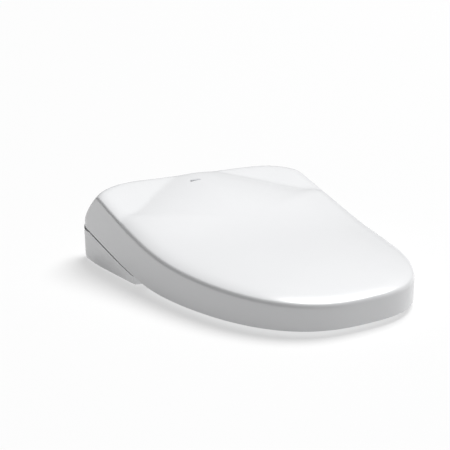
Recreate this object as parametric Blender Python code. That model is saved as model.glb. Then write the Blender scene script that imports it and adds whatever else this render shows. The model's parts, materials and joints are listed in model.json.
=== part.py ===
"""Electric bidet seat: housing, hinged seat and lid, spray nozzle, dryer, deodorizer and mounting plate.

Metres, +Z up, front towards -Y. The origin is midway between the two seat bolts on the bowl's deck.
Lengths along the seat are given as a depth, measured forwards from the rear face.
"""

import math

import bmesh
import bpy
import numpy as np
from mathutils import Matrix, Vector

# Overall sizes
REAR_TO_BOLTS = 0.062
LENGTH = 0.531
HALF_WIDTH = 0.1945
CORNER = 0.031
REAR_GAP = 0.002
WALL = 0.0025
GAP = 0.0004

# Lid: the plan narrows to the front from this depth, as a superellipse with these two powers
NARROW_FROM = 0.040
PLAN_POWER = 3.19
SIDE_POWER = 2.69
SKIRT_LOW = 0.0096
SKIRT_SLOPE = 0.217
SKIRT_BEND = 0.248
SKIRT_SOFT = 0.025
RIM_LOW = 0.039
RIM_SLOPE = 0.231
RIM_BEND = 0.2735
RIM_SOFT = 0.0332
RIM_LEAN = 0.065
RIM_RADIUS = 0.009
CROWN = 0.013
CROWN_POWER = 2.8
LID_CENTRE = 0.235
CREASE = ((0.035, 0.051), (0.159, 0.155))
LIP = 0.002
LIP_RISE = 0.2
CAP_LOW = 0.066
CAP_RISE = 0.068
CAP_REACH = 0.060
CAP_SIDE_REACH = 0.100
CAP_SIDE_FROM = 0.130
CAP_POWER = 0.6
CAP_SOFT = 0.003

# Hinge line of the seat and the lid
HINGE_DEPTH = 0.035
HINGE_Z = 0.095
SWEEP = 0.0405
SWEEP_CLEAR = 0.001
PIN_RADIUS = 0.004
BARREL_RADIUS = 0.012
BORE_CLEAR = 0.0004
BLOCK_IN = 0.100
BLOCK_OUT = 0.1205
SEAT_BARREL_IN = 0.1245
SEAT_BARREL_OUT = 0.148
LID_BARREL_IN = 0.151
LID_BARREL_OUT = 0.170
DAMPER_IN = 0.066

# Housing
PAN_INSET = 0.001
PAN_FRONT = 0.203
PAN_LIFT = 0.001
FLOOR_Z = 0.0046
SEAM = 0.001
TALL_HALF = 0.120
TALL_REAR = 0.078
TALL_FRONT = 0.191
TALL_Z = 0.104
TALL_FALL = 0.255
CASE_DROP = 0.0008
CASE_CLEAR = 0.001

# Seat ring
SEAT_INSET = 0.007
SEAT_REAR = 0.206
SEAT_CORNER = 0.030
SEAT_LOW = 0.008
SEAT_UNDER_LID = 0.011
SEAT_WALL = 0.0028
HOLE_DEPTH = 0.343
HOLE_HALF_WIDTH = 0.108
HOLE_HALF_LENGTH = 0.119
HOLE_POWER = 2.3
ARM_IN = 0.127
ARM_OUT = 0.146
HEATER_THICK = 0.0006

# Spray nozzle: its line falls to the front and crosses the case's front face at this height
NOZZLE_ANGLE = math.radians(35)
NOZZLE_EXIT_Z = 0.020
NOZZLE_RADIUS = 0.008
NOZZLE_LENGTH = 0.098
NOZZLE_TIP = 0.018
NOZZLE_BACK = 0.016
PINION_RADIUS = 0.008
RACK_THICK = 0.0027
WINDOW_HALF = 0.0145

# Mounting plate
PLATE_HALF = 0.098
PLATE_REAR = 0.022
PLATE_FRONT = 0.118
PLATE_THICK = 0.004
PLATE_CLEAR = 0.002
BOLT_SPACING = 0.140
BOLT_SLOT = 0.034
BOLT_BUSH = 0.0095
BOLT_HOLE = 0.0042

# Housing fittings
BUTTON_RADIUS = 0.005
BUTTON_PROUD = 0.0006
BUTTON_TRAVEL = 0.0015
DUCT_X = (0.060, 0.090)
DUCT_Z = (0.024, 0.044)
INLET_RADIUS = 0.010
GLAND_RADIUS = 0.008
PINION_ALONG = 0.060
BUTTONS = (
    ("aux_button_stop", 0.050, 0.034, "seat_white"),
    ("aux_button_wash", 0.068, 0.030, "seat_white"),
    ("sensor_window", 0.030, 0.040, "clear_smoke"),
)
RELEASE_DEPTH = (0.142, 0.160)
RELEASE_Z = (0.009, 0.017)
PORT_SIDE = 0.0445
PORT_Z = 0.026
RELEASE_TRAVEL = 0.0025
DRAWER_REAR = 0.090
DRAWER_FRONT = 0.120
DRAWER_LOW = 0.0125
DRAWER_HIGH = 0.028
DRAWER_LENGTH = 0.052
FAN_RADIUS = 0.020
FAN_X = 0.075
FAN_DEPTH = 0.112
DEODOR_RADIUS = 0.016
DEODOR_DEPTH = 0.042
CUP_CLEAR = 0.004
BUMPER = 0.007
SEAT_BUMPER_IN = 0.043


def fresh_collection(name):
    collection = bpy.data.collections.new(name)
    bpy.context.scene.collection.children.link(collection)
    return collection


for old in list(bpy.data.objects):
    bpy.data.objects.remove(old)
PARTS = fresh_collection("electric_bidet_seat")
CUTTERS = fresh_collection("cutters")


# Shape rules, all of the depth from the rear face


def half_width(depth):
    """The lid's half width: full to NARROW_FROM, then the superellipse down to the front tip."""
    share = np.clip((np.asarray(depth) - NARROW_FROM) / (LENGTH - NARROW_FROM), 0, 1)
    return HALF_WIDTH * (1 - share**PLAN_POWER) ** (1 / SIDE_POWER)


def soft_ramp(depth, bend, soft):
    """A distance that falls to 0 at the bend, with a soft turn instead of a corner."""
    return soft * np.logaddexp(0, (bend - np.asarray(depth)) / soft)


def sweep_floor(depth, radius):
    """The lower half of the circle that the lid's rear edge sweeps about the hinge line."""
    reach = np.clip(radius**2 - (HINGE_DEPTH - np.asarray(depth)) ** 2, 0, None)
    return HINGE_Z - np.sqrt(reach)


def skirt_line(depth):
    return SKIRT_LOW + SKIRT_SLOPE * soft_ramp(depth, SKIRT_BEND, SKIRT_SOFT)


def skirt_bottom(depth):
    behind = np.asarray(depth) < HINGE_DEPTH
    return np.where(behind, np.maximum(skirt_line(depth), sweep_floor(depth, SWEEP)), skirt_line(depth))


def rim_line(depth):
    """Height where the skirt turns into the lid's top."""
    ramp = RIM_SLOPE * soft_ramp(depth, RIM_BEND, RIM_SOFT)
    return RIM_LOW + ramp + RIM_LEAN * (LENGTH - np.asarray(depth))


def rear_cap(x, depth):
    """The lid's rounded rear seen from the side, a superellipse that grows longer towards the corners."""
    aside = np.clip((np.abs(x) - CAP_SIDE_FROM) / (HALF_WIDTH - CAP_SIDE_FROM), 0, 1)
    reach = CAP_REACH + CAP_SIDE_REACH * aside**2
    share = np.clip(1 - (depth - REAR_GAP) / reach, 0, 1)
    return CAP_LOW + CAP_RISE * (1 - share**2) ** CAP_POWER


def pan_top(depth):
    """The housing's upper edge, one seam below the lid and outside the lid's sweep."""
    circle = np.where(
        np.asarray(depth) < HINGE_DEPTH + SWEEP,
        sweep_floor(depth, SWEEP + SWEEP_CLEAR),
        np.inf,
    )
    return np.minimum(circle, skirt_line(depth) - SEAM)


def soft_least(first, second, soft):
    """The smaller of two heights, blended over the soft distance."""
    return first - soft * np.logaddexp(0, (first - second) / soft)


def plan(inset, rear, front, corner, count=400):
    """Half of a plan outline from the front tip to the rear centre, as (x, depth) points."""
    turn = np.linspace(math.pi / 2, 0, count)
    share = np.sin(turn) ** (2 / PLAN_POWER)
    side = np.stack(
        [
            (HALF_WIDTH - inset) * np.cos(turn) ** (2 / SIDE_POWER),
            NARROW_FROM + share * (LENGTH - inset - NARROW_FROM),
        ],
        1,
    )
    side = side[(side[:, 1] <= front) & (side[:, 1] >= rear + corner)]
    edge = np.interp(rear + corner, side[::-1, 1], side[::-1, 0])
    turn = np.linspace(0, math.pi / 2, count // 4)
    arc = np.stack([edge - corner * (1 - np.cos(turn)), rear + corner * (1 - np.sin(turn))], 1)
    cut = np.linspace(0, side[0, 0], count // 4, endpoint=False)
    tip = np.stack([cut, np.full_like(cut, side[0, 1])], 1) if side[0, 0] > 1e-4 else side[:0]
    back = np.linspace(arc[-1, 0], 0, count // 4)[1:]
    return np.concatenate([tip, side, arc, np.stack([back, np.full_like(back, rear)], 1)])


def spread(half, count):
    """Evenly chosen points of half an outline, by its length and by how far it turns."""
    legs = np.diff(half, axis=0)
    heading = np.unwrap(np.arctan2(legs[:, 1], legs[:, 0]))
    turned = np.concatenate([np.abs(np.diff(heading)), [0]])
    length = np.hypot(*legs.T)
    measure = np.concatenate([[0], np.cumsum(length / length.sum() + turned / turned.sum())])
    even = np.linspace(0, measure[-1], count)
    return np.stack([np.interp(even, measure, half[:, k]) for k in (0, 1)], 1)


def around(outline, centre, angles):
    """Points of a symmetric outline at the given angles about a centre on its middle line."""
    offset = outline[:, 1] - centre
    turn = np.arctan2(outline[:, 0], offset)
    reach = np.interp(np.abs(angles), turn, np.hypot(outline[:, 0], offset))
    return np.stack([np.sin(angles) * reach, centre + np.cos(angles) * reach], 1)


def plan_angles(outline, centre, count):
    """Angles about the centre of points spread round a whole symmetric outline."""
    side = spread(outline, count // 2 + 1)
    turn = np.arctan2(side[:, 0], side[:, 1] - centre)
    return np.concatenate([turn, -turn[-2:0:-1]])


# Builders


def place(x, depth, z):
    return Vector((x, REAR_TO_BOLTS - depth, z))


INLET = place(PORT_SIDE - HALF_WIDTH, PAN_INSET, PORT_Z)
GLAND = place(HALF_WIDTH - PORT_SIDE, PAN_INSET, PORT_Z)


def stack_points(flat, z):
    """World points from (x, depth) points and their heights."""
    return np.stack([flat[:, 0], REAR_TO_BOLTS - flat[:, 1], np.broadcast_to(z, len(flat))], 1)


MATERIALS = {
    "shell_white": ((0.83, 0.84, 0.85), 0.22, 0),
    "seat_white": ((0.80, 0.81, 0.82), 0.28, 0),
    "engineering_grey": ((0.35, 0.36, 0.38), 0.5, 0),
    "dark_plastic": ((0.05, 0.05, 0.055), 0.45, 0),
    "clear_smoke": ((0.10, 0.03, 0.03), 0.12, 0),
    "frosted_lens": ((0.75, 0.85, 0.95), 0.3, 0),
    "soft_rubber": ((0.55, 0.56, 0.57), 0.8, 0),
    "hose_rubber": ((0.12, 0.12, 0.12), 0.7, 0),
    "steel": ((0.62, 0.63, 0.65), 0.3, 1),
    "brass": ((0.70, 0.55, 0.28), 0.35, 1),
    "board_green": ((0.03, 0.18, 0.08), 0.5, 0),
    "carbon_black": ((0.02, 0.02, 0.02), 0.95, 0),
    "foil": ((0.75, 0.55, 0.35), 0.4, 1),
    "badge_grey": ((0.45, 0.46, 0.48), 0.35, 0.3),
}


def material(name):
    found = bpy.data.materials.get(name)
    if found:
        return found
    colour, roughness, metallic = MATERIALS[name]
    made = bpy.data.materials.new(name)
    made.use_nodes = True
    shader = made.node_tree.nodes["Principled BSDF"]
    shader.inputs["Base Color"].default_value = (*colour, 1)
    shader.inputs["Roughness"].default_value = roughness
    shader.inputs["Metallic"].default_value = metallic
    return made


def add(name, mesh, finish=None, origin=None):
    """An object for a mesh given in world space, a cutter if it has no finish."""
    obj = bpy.data.objects.new(name, mesh)
    if finish:
        PARTS.objects.link(obj)
        mesh.materials.append(material(finish))
        mesh.shade_smooth()
        mesh.set_sharp_from_angle(angle=math.radians(35))
    else:
        CUTTERS.objects.link(obj)
        obj.hide_render = True
        obj.display_type = "WIRE"
    if origin is not None:
        mesh.transform(Matrix.Translation(-origin))
        obj.location = origin
    return obj


def mesh_of(points, faces, name):
    mesh = bpy.data.meshes.new(name)
    mesh.from_pydata([tuple(p) for p in points], [], faces)
    work = bmesh.new()
    work.from_mesh(mesh)
    bmesh.ops.recalc_face_normals(work, faces=work.faces)
    work.to_mesh(mesh)
    work.free()
    return mesh


def box(name, x, depth, z, finish=None, bevel=0, origin=None):
    """A block between two x, two depths and two heights, its edges rounded by bevel."""
    work = bmesh.new()
    bmesh.ops.create_cube(work, size=1)
    size = Vector((abs(x[1] - x[0]), abs(depth[1] - depth[0]), abs(z[1] - z[0])))
    middle = place(sum(x) / 2, sum(depth) / 2, sum(z) / 2)
    bmesh.ops.transform(work, matrix=Matrix.LocRotScale(middle, None, size), verts=work.verts)
    if bevel:
        bmesh.ops.bevel(work, geom=work.edges[:], offset=bevel, segments=2, affect="EDGES", profile=0.5)
    mesh = bpy.data.meshes.new(name)
    work.to_mesh(mesh)
    work.free()
    return add(name, mesh, finish, origin)


def rod(name, start, end, radius, finish=None, sides=24, end_radius=None, origin=None):
    """A round bar or cone between two world points."""
    work = bmesh.new()
    line = end - start
    top = radius if end_radius is None else end_radius
    bmesh.ops.create_cone(work, cap_ends=True, segments=sides, radius1=radius, radius2=top, depth=line.length)
    turn = line.to_track_quat("Z", "Y").to_matrix().to_4x4()
    bmesh.ops.transform(work, matrix=Matrix.Translation((start + end) / 2) @ turn, verts=work.verts)
    mesh = bpy.data.meshes.new(name)
    work.to_mesh(mesh)
    work.free()
    return add(name, mesh, finish, origin)


def prism(name, outline, low, high, finish=None):
    """A solid over a plan outline of (x, depth) points, between two heights."""
    count = len(outline)
    points = np.concatenate([stack_points(outline, low), stack_points(outline, high)])
    faces = [tuple(range(count)), tuple(range(count, 2 * count))]
    faces += [(i, (i + 1) % count, count + (i + 1) % count, count + i) for i in range(count)]
    return add(name, mesh_of(points, faces, name), finish)


def side_prism(name, profile, x_low, x_high, finish=None):
    """A solid over a side profile of (depth, z) points, between two x."""
    count = len(profile)
    points = [place(x, depth, z) for x in (x_low, x_high) for depth, z in profile]
    faces = [tuple(range(count)), tuple(range(count, 2 * count))]
    faces += [(i, (i + 1) % count, count + (i + 1) % count, count + i) for i in range(count)]
    return add(name, mesh_of(points, faces, name), finish)


def ring_mesh(name, loops):
    """A closed ring from a grid of points: around the ring, then round its section."""
    turns, steps = loops.shape[:2]
    faces = []
    for i in range(turns):
        for j in range(steps):
            after = ((i + 1) % turns, (j + 1) % steps)
            corners = (i, j), (after[0], j), after, (i, after[1])
            faces.append(tuple(row * steps + column for row, column in corners))
    return mesh_of(loops.reshape(-1, 3), faces, name)


def boolean(obj, others, operation="DIFFERENCE"):
    """Cuts or joins other objects into obj, and applies it at once."""
    for other in others:
        modifier = obj.modifiers.new(other.name, "BOOLEAN")
        modifier.operation = operation
        modifier.object = other
        modifier.solver = "EXACT"
        bpy.context.view_layer.update()
        graph = bpy.context.evaluated_depsgraph_get()
        made = bpy.data.meshes.new_from_object(obj.evaluated_get(graph))
        obj.modifiers.clear()
        obj.data = made
    return obj


def join(obj, others):
    boolean(obj, others, "UNION")
    for other in others:
        bpy.data.objects.remove(other)
    return obj


def hollow_rod(name, start, end, radius, bore, finish, sides=24, origin=None):
    """A tube with square ends."""
    line = (end - start).normalized()
    tube = rod(name, start, end, radius, finish, sides)
    cutter = rod(name + "_bore", start - line * 0.002, end + line * 0.002, bore, sides=sides)
    boolean(tube, [cutter])
    if origin is not None:
        tube.data.transform(Matrix.Translation(-origin))
        tube.location = origin
    return tube


def hose(name, route, radius):
    """A round hose through world points, as a curve with filled ends."""
    curve = bpy.data.curves.new(name, "CURVE")
    curve.dimensions = "3D"
    curve.bevel_depth = radius
    curve.bevel_resolution = 2
    curve.use_fill_caps = True
    spline = curve.splines.new("POLY")
    spline.points.add(len(route) - 1)
    for point, at in zip(spline.points, route):
        point.co = (*at, 1)
    curve.materials.append(material("hose_rubber"))
    obj = bpy.data.objects.new(name, curve)
    PARTS.objects.link(obj)
    return obj


# Frames of the moving pieces
HINGE = place(0, HINGE_DEPTH, HINGE_Z)
NOZZLE_AXIS = Vector((0, -math.cos(NOZZLE_ANGLE), -math.sin(NOZZLE_ANGLE)))
NOZZLE_UP = Vector((0, -math.sin(NOZZLE_ANGLE), math.cos(NOZZLE_ANGLE)))
NOZZLE_EXIT = place(0, TALL_FRONT, NOZZLE_EXIT_Z)


def nozzle_point(along, up=0, x=0):
    """A point by its distance behind the case's front face along the nozzle's line."""
    return NOZZLE_EXIT - NOZZLE_AXIS * along + NOZZLE_UP * up + Vector((x, 0, 0))


def nozzle_block(name, x, along, up, finish, origin=None):
    """A block square to the nozzle's line."""
    middle = nozzle_point(sum(along) / 2, sum(up) / 2, sum(x) / 2)
    size = Vector((abs(x[1] - x[0]), abs(along[1] - along[0]), abs(up[1] - up[0])))
    work = bmesh.new()
    bmesh.ops.create_cube(work, size=1)
    tilt = Matrix.Rotation(NOZZLE_ANGLE, 4, "X")
    matrix = Matrix.Translation(middle) @ tilt @ Matrix.Diagonal((*size, 1))
    bmesh.ops.transform(work, matrix=matrix, verts=work.verts)
    mesh = bpy.data.meshes.new(name)
    work.to_mesh(mesh)
    work.free()
    return add(name, mesh, finish, origin)


def hinge_tube(name, x_in, x_out, radius, finish, side=1, sides=24):
    """A barrel on the hinge line, bored for the pin."""
    ends = [HINGE + Vector((side * x, 0, 0)) for x in (x_in, x_out)]
    return hollow_rod(name, *ends, radius, PIN_RADIUS + BORE_CLEAR, finish, sides)


SIDES = (("left", -1), ("right", 1))


def make_plate():
    plate = box(
        "mounting_plate",
        (-PLATE_HALF, PLATE_HALF),
        (PLATE_REAR, PLATE_FRONT),
        (0, PLATE_THICK),
        "engineering_grey",
        bevel=0.001,
    )
    for side, sign in SIDES:
        x = sign * BOLT_SPACING / 2
        half = BOLT_SLOT / 2
        slot = box(
            "slot_" + side,
            (x - half, x + half),
            (REAR_TO_BOLTS - BOLT_BUSH - GAP, REAR_TO_BOLTS + BOLT_BUSH + GAP),
            (-WALL, PLATE_THICK + WALL),
        )
        boolean(plate, [slot])
        low, high = place(x, REAR_TO_BOLTS, GAP), place(x, REAR_TO_BOLTS, PLATE_THICK - GAP)
        hollow_rod("bolt_bush_" + side, low, high, BOLT_BUSH, BOLT_HOLE, "soft_rubber", origin=low)


def make_pan():
    outer = plan(PAN_INSET, PAN_INSET, PAN_FRONT, CORNER)
    inner = plan(PAN_INSET + WALL, PAN_INSET + WALL, PAN_FRONT - WALL, CORNER - WALL)
    pan = prism("base_pan", thin(outer), PAN_LIFT, HINGE_Z, "shell_white")
    well = prism("pan_well", thin(inner), FLOOR_Z + WALL, HINGE_Z + WALL)
    under = prism("pan_under", thin(inner), -WALL, FLOOR_Z)
    depths = np.linspace(-WALL, PAN_FRONT + WALL, 34)
    edge = [(d, pan_top(max(d, 0))) for d in depths] + [(PAN_FRONT + WALL, 0.12), (-WALL, 0.12)]
    above = side_prism("pan_above", edge, -HALF_WIDTH, HALF_WIDTH)
    half = PLATE_HALF + PLATE_CLEAR
    pass_over = box("plate_notch", (-half, half), (-WALL, 2 * WALL), (-WALL, FLOOR_Z))
    boolean(pan, [well, under, above, pass_over])
    for side, sign in SIDES:
        start = place(sign * 0.130, PAN_FRONT - 0.030, 0)
        rod_end = place(sign * 0.130, PAN_FRONT - 0.030, FLOOR_Z - GAP)
        rod("base_foot_" + side, start, rod_end, 0.009, "soft_rubber", origin=start)
    return pan


def thin(half, count=52):
    """A whole closed outline from half of one, with evenly spread points."""
    side = spread(half, count)
    other = side[::-1] * [-1, 1]
    drop = slice(1, -1) if side[0, 0] < 1e-6 else slice(1, None)
    return np.concatenate([side, other[drop]])


def tall_top(depth):
    return TALL_Z - TALL_FALL * (depth - TALL_REAR)


def case_top(depth):
    """The wings' top, which rises into the rear wall of the tall body."""
    return pan_top(depth) - CASE_DROP


def make_case():
    inset = PAN_INSET + WALL + CASE_CLEAR
    depths = np.linspace(inset, PAN_FRONT - inset, 26)
    top = [(d, case_top(d)) for d in depths]
    low = [(d, z - WALL) for d, z in top[::-1]]
    case = side_prism("upper_case", top + low, -HALF_WIDTH, HALF_WIDTH, "shell_white")
    clip = prism("case_clip", thin(plan(inset, inset, PAN_FRONT - inset, CORNER - inset)), 0, 0.12)
    boolean(case, [clip], "INTERSECT")
    bend = 0.006
    body = [
        (TALL_REAR, case_top(TALL_REAR) - WALL),
        (TALL_REAR, tall_top(TALL_REAR) - 2 * bend),
        (TALL_REAR + bend, tall_top(TALL_REAR)),
        (TALL_FRONT - bend, tall_top(TALL_FRONT - bend)),
        (TALL_FRONT, tall_top(TALL_FRONT) - bend),
        (TALL_FRONT, case_top(TALL_FRONT) - WALL),
    ]
    hollow = [
        (TALL_REAR + WALL, FLOOR_Z),
        (TALL_REAR + WALL, tall_top(TALL_REAR) - 2 * bend),
        (TALL_REAR + bend + WALL / 2, tall_top(TALL_REAR) - WALL),
        (TALL_FRONT - bend - WALL / 2, tall_top(TALL_FRONT - bend) - WALL),
        (TALL_FRONT - WALL, tall_top(TALL_FRONT) - bend),
        (TALL_FRONT - WALL, FLOOR_Z),
    ]
    join(case, [side_prism("case_body", body, -TALL_HALF, TALL_HALF, "shell_white")])
    boolean(case, [side_prism("case_hollow", hollow, WALL - TALL_HALF, TALL_HALF - WALL)])
    return case


def make_hinge_mounts():
    for side, sign in SIDES:
        x = (sign * BLOCK_IN, sign * (BLOCK_OUT - WALL))
        name = "hinge_block_" + side
        block = hinge_tube(name, BLOCK_IN, BLOCK_OUT, BARREL_RADIUS, "engineering_grey", sign)
        web = box(
            "web_" + side,
            x,
            (HINGE_DEPTH + PIN_RADIUS * 2, TALL_REAR - GAP),
            (HINGE_Z - BARREL_RADIUS * 0.8, HINGE_Z - PIN_RADIUS),
            "engineering_grey",
        )
        join(block, [web])
        start = HINGE + Vector((sign * (DAMPER_IN + WALL), 0, 0))
        end = HINGE + Vector((sign * (LID_BARREL_OUT - WALL), 0, 0))
        pin = rod("hinge_pin_" + side, start, end, PIN_RADIUS, "steel", 20, origin=start)
    for name, sign in (("seat_damper", -1), ("lid_damper", 1)):
        damper = hinge_tube(name, DAMPER_IN, BLOCK_IN - GAP, BARREL_RADIUS - WALL / 2, "dark_plastic", sign)


def lid_outline(angles, offset=0.0):
    return around(plan(offset, REAR_GAP + offset, LENGTH, CORNER - offset), LID_CENTRE, angles)


def crease_share(angles, reach):
    """Share of the reach where the crown ends: at the rim, or on a slanting crease at a rear corner."""
    (near_x, near_depth), (far_x, far_depth) = CREASE
    run, rise = far_x - near_x, far_depth - near_depth
    across = near_x * rise + (LID_CENTRE - near_depth) * run
    along = np.sin(np.abs(angles)) * rise - np.cos(angles) * run
    line = np.where(along > 0, across / np.maximum(along, 1e-6), np.inf)
    return np.minimum(line / reach, 1)


def lid_height(x, depth, scale, reach, crease, offset=0.0):
    """Height of the lid's top: the rim line, the round of the rim and the crown, limited by the rear cap.

    Scale is the share of the reach from the lid's centre to its outline, and crease the crown's own share.
    """
    edge = RIM_RADIUS - offset
    inward = np.clip(edge - reach * (1 - scale), 0, None)
    fall = edge - np.sqrt(edge**2 - inward**2)
    crown = CROWN * (1 - np.minimum(scale / crease, 1) ** CROWN_POWER)
    top = soft_least(rim_line(depth) + RIM_RADIUS + crown, rear_cap(x, depth - offset), CAP_SOFT)
    return top - fall - offset


def lid_height_at(x, depth, offset=0.0):
    outline = lid_outline(np.array([math.atan2(x, depth - LID_CENTRE)]), offset)[0]
    reach = math.hypot(outline[0], outline[1] - LID_CENTRE)
    scale = math.hypot(x, depth - LID_CENTRE) / reach
    crease = crease_share(math.atan2(x, depth - LID_CENTRE), reach)
    return float(lid_height(x, depth, scale, reach, crease, offset))


def lid_surface(count, rings, offset=0.0):
    """The lid's outer skin, or its inner skin offset inwards, as loops from the lower edge to the middle."""
    angles = plan_angles(plan(0, REAR_GAP, LENGTH, CORNER), LID_CENTRE, count)
    outline = lid_outline(angles, offset)
    lower = skirt_bottom(outline[:, 1])
    reach = np.hypot(outline[:, 0], outline[:, 1] - LID_CENTRE)
    crease = crease_share(angles, reach)
    loops = [stack_points(outline, lower)]
    for distance, share in rings:
        scale = (reach - distance) / reach * share
        flat = (outline - [0, LID_CENTRE]) * scale[:, None] + [0, LID_CENTRE]
        z = lid_height(*flat.T, scale, reach, crease, offset)
        loops.append(stack_points(flat, np.maximum(z, lower + LIP + LIP_RISE * distance)))
    return np.stack(loops)


LID_RINGS = tuple((inset, 1) for inset in (0, 0.0015, 0.0045, 0.010, 0.018, 0.03))
LID_RINGS += tuple((0.03, share) for share in (0.8, 0.5, 0.2))


def make_lid():
    count = 72
    outer = lid_surface(count, LID_RINGS)
    inner = lid_surface(count, LID_RINGS, WALL)
    inner[0, :, 2] = outer[0, :, 2]
    loops = np.concatenate([outer[::-1], inner])
    steps = len(loops)
    points = loops.reshape(-1, 3)
    faces = []
    for j in range(steps - 1):
        for i in range(count):
            after = (i + 1) % count
            faces.append((j * count + i, j * count + after, (j + 1) * count + after, (j + 1) * count + i))
    faces.append(tuple(range(count)))
    faces.append(tuple(range((steps - 1) * count, steps * count)))
    lid = add("lid_shell", mesh_of(points, faces, "lid_shell"), "shell_white")
    for side, sign in SIDES:
        radius = BARREL_RADIUS - WALL / 2
        barrel = hinge_tube("lid_barrel_" + side, LID_BARREL_IN, LID_BARREL_OUT, radius, "shell_white", sign)
        near, far = LID_BARREL_IN + WALL / 2, (LID_BARREL_IN + LID_BARREL_OUT) / 2
        depths = (HINGE_DEPTH - 0.003, HINGE_DEPTH + 0.007)
        high = min(lid_height_at(x, depth, WALL) for x in (near, far) for depth in depths) + WALL * 0.6
        x, z = (sign * near, sign * far), (HINGE_Z + PIN_RADIUS * 2, high)
        web = box("lid_web_" + side, x, depths, z, "shell_white")
        join(lid, [join(barrel, [web])])
    lid.data.transform(Matrix.Translation(-HINGE))
    lid.location = HINGE
    return lid


def seat_line(depth):
    return rim_line(depth) - SEAT_UNDER_LID


def ring_outlines(count):
    outline = plan(SEAT_INSET, SEAT_REAR, LENGTH, SEAT_CORNER)
    angles = plan_angles(outline, HOLE_DEPTH, count)
    outer = around(outline, HOLE_DEPTH, angles)
    wide, long = HOLE_HALF_WIDTH, HOLE_HALF_LENGTH
    sine, cosine = np.abs(np.sin(angles)), np.abs(np.cos(angles))
    reach = ((sine / wide) ** HOLE_POWER + (cosine / long) ** HOLE_POWER) ** (-1 / HOLE_POWER)
    hole = np.stack([np.sin(angles) * reach, HOLE_DEPTH + np.cos(angles) * reach], 1)
    return outer, hole


def ring_point(outlines, share, inset, z):
    """A loop between the ring's outer outline and its hole, moved inwards from both walls by inset."""
    outer, hole = outlines
    width = np.hypot(*(outer - hole).T)[:, None]
    at = share + (0.5 - share) * 2 * np.minimum(inset / width, 0.45)
    return stack_points(outer + (hole - outer) * at, z)


def top_section(outlines, inset):
    outer, _ = outlines
    line = seat_line(outer[:, 1]) - inset
    section = [
        (0.0, 0, SEAT_LOW),
        (0.0, 0, line - 0.010),
        (0.0, 0.003, line - 0.003),
        (0.0, 0.010, line),
        (0.5, 0, line - 0.001),
        (1.0, 0.012, line - 0.004),
        (1.0, 0.004, line - 0.009),
        (1.0, 0, line - 0.014),
        (1.0, 0, SEAT_LOW),
    ]
    return [ring_point(outlines, share, inset + extra, z) for share, extra, z in section]


def make_seat():
    count = 64
    outlines = ring_outlines(count)
    skin, lining = top_section(outlines, 0), top_section(outlines, SEAT_WALL)
    for loop in (lining[0], lining[-1]):
        loop[:, 2] = SEAT_LOW
    top = add("seat_top", ring_mesh("seat_top", np.stack(skin + lining[::-1], 1)), "seat_white")
    for side, sign in SIDES:
        arm = [
            (HINGE_DEPTH - 0.004, HINGE_Z - 0.009),
            (HINGE_DEPTH + 0.016, HINGE_Z - 0.011),
            (0.120, 0.062),
            (SEAT_REAR + 0.001, 0.030),
            (SEAT_REAR + 0.001, 0.052),
            (0.120, 0.084),
            (HINGE_DEPTH + 0.020, HINGE_Z + 0.009),
            (HINGE_DEPTH - 0.002, HINGE_Z + 0.011),
        ]
        bar = side_prism("arm_" + side, arm, sign * ARM_IN, sign * ARM_OUT, "seat_white")
        join(top, [bar])
        ends = [HINGE + Vector((sign * x, 0, 0)) for x in (SEAT_BARREL_IN, SEAT_BARREL_OUT)]
        join(top, [rod("seat_barrel_" + side, *ends, BARREL_RADIUS, "seat_white")])
        ends = [HINGE + Vector((sign * x, 0, 0)) for x in (SEAT_BARREL_IN - WALL, SEAT_BARREL_OUT + WALL)]
        boolean(top, [rod("seat_bore_" + side, *ends, PIN_RADIUS + BORE_CLEAR)])
    relief = box("nozzle_relief", (-0.019, 0.019), (SEAT_REAR - 0.01, 0.226), (-0.01, 0.027))
    boolean(top, [relief])
    plate_in = SEAT_WALL + GAP
    high = SEAT_LOW + WALL
    flat = [(share, plate_in, z) for share, z in ((0.0, SEAT_LOW), (0.0, high), (1.0, high), (1.0, SEAT_LOW))]
    loops = [ring_point(outlines, *step) for step in flat]
    under = add("seat_base", ring_mesh("seat_base", np.stack(loops, 1)), "seat_white")
    boolean(under, [relief])
    deep = SEAT_WALL + GAP
    line = seat_line(outlines[0][:, 1]) - deep - 0.002
    flat = [
        (0.0, 0.018, line - HEATER_THICK),
        (0.0, 0.018, line),
        (0.5, 0, line - 0.001),
        (1.0, 0.020, line - 0.004),
        (1.0, 0.020, line - 0.004 - HEATER_THICK),
        (0.5, 0, line - 0.001 - HEATER_THICK),
    ]
    loops = [ring_point(outlines, *step) for step in flat]
    heater = add("seat_heater", ring_mesh("seat_heater", np.stack(loops, 1)), "foil")
    for obj in (top, under, heater):
        obj.data.transform(Matrix.Translation(-HINGE))
        obj.location = HINGE
    for place_name, depth in (("front", 0.440), ("rear", 0.250)):
        for side, sign in SIDES:
            x = sign * (float(half_width(depth)) - SEAT_BUMPER_IN)
            low = place(x, depth, 0)
            name, high = f"seat_bumper_{place_name}_{side}", place(x, depth, SEAT_LOW - GAP)
            rod(name, low, high, 0.010, "soft_rubber", origin=low)


def make_lid_fittings():
    for side, sign in SIDES:
        depth = 0.400
        x = sign * (float(half_width(depth)) - 0.035)
        low = place(x, depth, float(seat_line(depth)) + 2 * GAP)
        high = place(x, depth, lid_height_at(x + sign * BUMPER, depth + BUMPER, WALL) - 2 * GAP)
        rod("lid_bumper_" + side, low, high, BUMPER - GAP, "soft_rubber", end_radius=BUMPER, origin=low)
    across, depth = (-0.028, -0.012), (0.0885, 0.0920)
    low = max(lid_height_at(x, d) for x in across for d in depth) + GAP
    box("lid_badge", across, depth, (low, low + 0.001), "badge_grey")
    depth, x = (0.150, 0.158), (0.134, 0.142)
    high = min(lid_height_at(x[1], d, WALL) for d in depth) - GAP
    box("lid_magnet", x, depth, (high - 0.003, high), "steel")


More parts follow.
